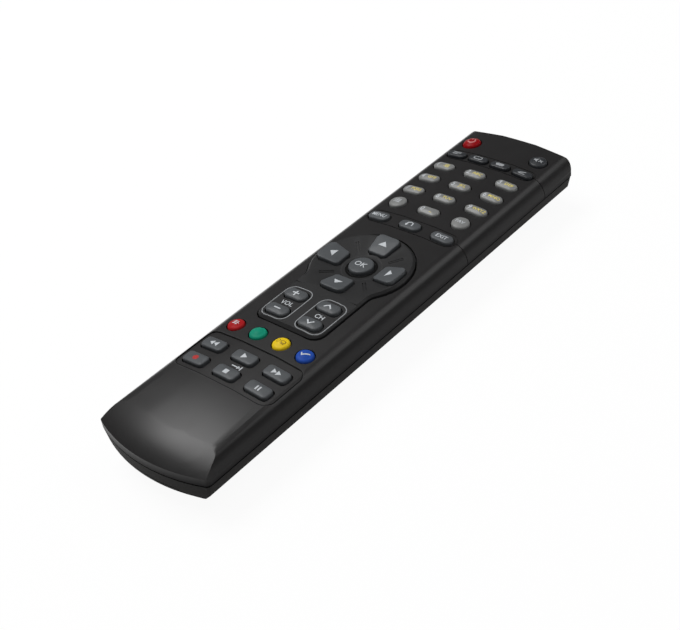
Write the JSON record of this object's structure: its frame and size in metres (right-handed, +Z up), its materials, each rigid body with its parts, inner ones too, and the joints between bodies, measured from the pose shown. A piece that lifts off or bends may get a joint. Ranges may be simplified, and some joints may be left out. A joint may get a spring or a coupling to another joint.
{
  "type": "personal video recorder remote control",
  "caption": "Long slim remote control with a crowned dark case, rows of sprung keys, a raised keyhole-shaped navigation panel and a sliding battery cover in its belly.",
  "frame": {"origin": "middle of the footprint, on the surface that the belly lies on", "axes": "+Y along the handset towards the infrared end, +Z up out of the keys, +X to the right of the person holding it"},
  "size_m": [0.048, 0.2, 0.0232],
  "materials": {
    "case_plastic": "satin",
    "base_plastic": "satin",
    "cover_plastic": "satin",
    "panel_plastic": "satin",
    "dark_key": "satin",
    "number_key": "satin",
    "red_key": "gloss",
    "green_key": "gloss",
    "yellow_key": "gloss",
    "blue_key": "gloss",
    "silicone": "matt",
    "laminate": "satin",
    "black_epoxy": "matt",
    "resonator_amber": "satin",
    "capacitor_sleeve": "gloss",
    "led_lens": "clear",
    "window_tint": "tinted",
    "cell_wrap": "gloss",
    "plated_steel": "satin"
  },
  "bodies": {
    "handset": {"top_case": "case_plastic", "bottom_case": "base_plastic", "navigation_panel": "panel_plastic", "keypad_mat": "silicone", "circuit_board": "laminate", "controller_chip": "black_epoxy", "resonator": "resonator_amber", "reservoir_capacitor": "capacitor_sleeve", "drive_transistor": "black_epoxy", "infrared_led": "led_lens", "infrared_window": "window_tint", "left_cell": "cell_wrap", "right_cell": "cell_wrap", "cell_link": "plated_steel", "negative_contact": "plated_steel", "positive_contact": "plated_steel", "case_screws": "plated_steel"},
    "battery_cover": {"battery_cover": "cover_plastic"},
    "power_key": {"power_key": "red_key"},
    "mute_key": {"mute_key": "dark_key"},
    "list_key": {"list_key": "number_key"},
    "favourite_key": {"favourite_key": "number_key"},
    "function_1_key": {"function_1_key": "dark_key"},
    "function_2_key": {"function_2_key": "dark_key"},
    "function_3_key": {"function_3_key": "dark_key"},
    "function_4_key": {"function_4_key": "dark_key"},
    "digit_0_key": {"digit_0_key": "number_key"},
    "digit_1_key": {"digit_1_key": "number_key"},
    "digit_2_key": {"digit_2_key": "number_key"},
    "digit_3_key": {"digit_3_key": "number_key"},
    "digit_4_key": {"digit_4_key": "number_key"},
    "digit_5_key": {"digit_5_key": "number_key"},
    "digit_6_key": {"digit_6_key": "number_key"},
    "digit_7_key": {"digit_7_key": "number_key"},
    "digit_8_key": {"digit_8_key": "number_key"},
    "digit_9_key": {"digit_9_key": "number_key"},
    "menu_key": {"menu_key": "dark_key"},
    "back_key": {"back_key": "dark_key"},
    "exit_key": {"exit_key": "dark_key"},
    "ok_key": {"ok_key": "dark_key"},
    "up_key": {"up_key": "dark_key"},
    "left_key": {"left_key": "dark_key"},
    "down_key": {"down_key": "dark_key"},
    "right_key": {"right_key": "dark_key"},
    "volume_up_key": {"volume_up_key": "dark_key"},
    "volume_down_key": {"volume_down_key": "dark_key"},
    "channel_up_key": {"channel_up_key": "dark_key"},
    "channel_down_key": {"channel_down_key": "dark_key"},
    "rewind_key": {"rewind_key": "dark_key"},
    "play_key": {"play_key": "dark_key"},
    "fast_forward_key": {"fast_forward_key": "dark_key"},
    "record_key": {"record_key": "dark_key"},
    "stop_key": {"stop_key": "dark_key"},
    "pause_key": {"pause_key": "dark_key"},
    "red_key": {"red_key": "red_key"},
    "green_key": {"green_key": "green_key"},
    "yellow_key": {"yellow_key": "yellow_key"},
    "blue_key": {"blue_key": "blue_key"}
  },
  "joints": [
    {"name": "battery_cover_slide", "type": "slide", "parent": "handset", "child": "battery_cover", "axis": [0, -1, 0], "range_m": [0, 0.055]},
    {"name": "power_key_press", "type": "slide", "parent": "handset", "child": "power_key", "axis": [0, 0, -1], "range_m": [0, 0.0008], "stiffness_N_per_m": 400},
    {"name": "mute_key_press", "type": "slide", "parent": "handset", "child": "mute_key", "axis": [0, 0, -1], "range_m": [0, 0.0008], "stiffness_N_per_m": 400},
    {"name": "list_key_press", "type": "slide", "parent": "handset", "child": "list_key", "axis": [0, 0, -1], "range_m": [0, 0.0008], "stiffness_N_per_m": 400},
    {"name": "favourite_key_press", "type": "slide", "parent": "handset", "child": "favourite_key", "axis": [0, 0, -1], "range_m": [0, 0.0008], "stiffness_N_per_m": 400},
    {"name": "function_1_key_press", "type": "slide", "parent": "handset", "child": "function_1_key", "axis": [0, 0, -1], "range_m": [0, 0.0008], "stiffness_N_per_m": 400},
    {"name": "function_2_key_press", "type": "slide", "parent": "handset", "child": "function_2_key", "axis": [0, 0, -1], "range_m": [0, 0.0008], "stiffness_N_per_m": 400},
    {"name": "function_3_key_press", "type": "slide", "parent": "handset", "child": "function_3_key", "axis": [0, 0, -1], "range_m": [0, 0.0008], "stiffness_N_per_m": 400},
    {"name": "function_4_key_press", "type": "slide", "parent": "handset", "child": "function_4_key", "axis": [0, 0, -1], "range_m": [0, 0.0008], "stiffness_N_per_m": 400},
    {"name": "digit_0_key_press", "type": "slide", "parent": "handset", "child": "digit_0_key", "axis": [0, 0, -1], "range_m": [0, 0.0008], "stiffness_N_per_m": 400},
    {"name": "digit_1_key_press", "type": "slide", "parent": "handset", "child": "digit_1_key", "axis": [0, 0, -1], "range_m": [0, 0.0008], "stiffness_N_per_m": 400},
    {"name": "digit_2_key_press", "type": "slide", "parent": "handset", "child": "digit_2_key", "axis": [0, 0, -1], "range_m": [0, 0.0008], "stiffness_N_per_m": 400},
    {"name": "digit_3_key_press", "type": "slide", "parent": "handset", "child": "digit_3_key", "axis": [0, 0, -1], "range_m": [0, 0.0008], "stiffness_N_per_m": 400},
    {"name": "digit_4_key_press", "type": "slide", "parent": "handset", "child": "digit_4_key", "axis": [0, 0, -1], "range_m": [0, 0.0008], "stiffness_N_per_m": 400},
    {"name": "digit_5_key_press", "type": "slide", "parent": "handset", "child": "digit_5_key", "axis": [0, 0, -1], "range_m": [0, 0.0008], "stiffness_N_per_m": 400},
    {"name": "digit_6_key_press", "type": "slide", "parent": "handset", "child": "digit_6_key", "axis": [0, 0, -1], "range_m": [0, 0.0008], "stiffness_N_per_m": 400},
    {"name": "digit_7_key_press", "type": "slide", "parent": "handset", "child": "digit_7_key", "axis": [0, 0, -1], "range_m": [0, 0.0008], "stiffness_N_per_m": 400},
    {"name": "digit_8_key_press", "type": "slide", "parent": "handset", "child": "digit_8_key", "axis": [0, 0, -1], "range_m": [0, 0.0008], "stiffness_N_per_m": 400},
    {"name": "digit_9_key_press", "type": "slide", "parent": "handset", "child": "digit_9_key", "axis": [0, 0, -1], "range_m": [0, 0.0008], "stiffness_N_per_m": 400},
    {"name": "menu_key_press", "type": "slide", "parent": "handset", "child": "menu_key", "axis": [0, 0, -1], "range_m": [0, 0.0008], "stiffness_N_per_m": 400},
    {"name": "back_key_press", "type": "slide", "parent": "handset", "child": "back_key", "axis": [0, 0, -1], "range_m": [0, 0.0008], "stiffness_N_per_m": 400},
    {"name": "exit_key_press", "type": "slide", "parent": "handset", "child": "exit_key", "axis": [0, 0, -1], "range_m": [0, 0.0008], "stiffness_N_per_m": 400},
    {"name": "ok_key_press", "type": "slide", "parent": "handset", "child": "ok_key", "axis": [0, 0, -1], "range_m": [0, 0.0008], "stiffness_N_per_m": 400},
    {"name": "up_key_press", "type": "slide", "parent": "handset", "child": "up_key", "axis": [0, 0, -1], "range_m": [0, 0.0008], "stiffness_N_per_m": 400},
    {"name": "left_key_press", "type": "slide", "parent": "handset", "child": "left_key", "axis": [0, 0, -1], "range_m": [0, 0.0008], "stiffness_N_per_m": 400},
    {"name": "down_key_press", "type": "slide", "parent": "handset", "child": "down_key", "axis": [0, 0, -1], "range_m": [0, 0.0008], "stiffness_N_per_m": 400},
    {"name": "right_key_press", "type": "slide", "parent": "handset", "child": "right_key", "axis": [0, 0, -1], "range_m": [0, 0.0008], "stiffness_N_per_m": 400},
    {"name": "volume_up_key_press", "type": "slide", "parent": "handset", "child": "volume_up_key", "axis": [0, 0, -1], "range_m": [0, 0.0008], "stiffness_N_per_m": 400},
    {"name": "volume_down_key_press", "type": "slide", "parent": "handset", "child": "volume_down_key", "axis": [0, 0, -1], "range_m": [0, 0.0008], "stiffness_N_per_m": 400},
    {"name": "channel_up_key_press", "type": "slide", "parent": "handset", "child": "channel_up_key", "axis": [0, 0, -1], "range_m": [0, 0.0008], "stiffness_N_per_m": 400},
    {"name": "channel_down_key_press", "type": "slide", "parent": "handset", "child": "channel_down_key", "axis": [0, 0, -1], "range_m": [0, 0.0008], "stiffness_N_per_m": 400},
    {"name": "rewind_key_press", "type": "slide", "parent": "handset", "child": "rewind_key", "axis": [0, 0, -1], "range_m": [0, 0.0008], "stiffness_N_per_m": 400},
    {"name": "play_key_press", "type": "slide", "parent": "handset", "child": "play_key", "axis": [0, 0, -1], "range_m": [0, 0.0008], "stiffness_N_per_m": 400},
    {"name": "fast_forward_key_press", "type": "slide", "parent": "handset", "child": "fast_forward_key", "axis": [0, 0, -1], "range_m": [0, 0.0008], "stiffness_N_per_m": 400},
    {"name": "record_key_press", "type": "slide", "parent": "handset", "child": "record_key", "axis": [0, 0, -1], "range_m": [0, 0.0008], "stiffness_N_per_m": 400},
    {"name": "stop_key_press", "type": "slide", "parent": "handset", "child": "stop_key", "axis": [0, 0, -1], "range_m": [0, 0.0008], "stiffness_N_per_m": 400},
    {"name": "pause_key_press", "type": "slide", "parent": "handset", "child": "pause_key", "axis": [0, 0, -1], "range_m": [0, 0.0008], "stiffness_N_per_m": 400},
    {"name": "red_key_press", "type": "slide", "parent": "handset", "child": "red_key", "axis": [0, 0, -1], "range_m": [0, 0.0008], "stiffness_N_per_m": 400},
    {"name": "green_key_press", "type": "slide", "parent": "handset", "child": "green_key", "axis": [0, 0, -1], "range_m": [0, 0.0008], "stiffness_N_per_m": 400},
    {"name": "yellow_key_press", "type": "slide", "parent": "handset", "child": "yellow_key", "axis": [0, 0, -1], "range_m": [0, 0.0008], "stiffness_N_per_m": 400},
    {"name": "blue_key_press", "type": "slide", "parent": "handset", "child": "blue_key", "axis": [0, 0, -1], "range_m": [0, 0.0008], "stiffness_N_per_m": 400}
  ]
}
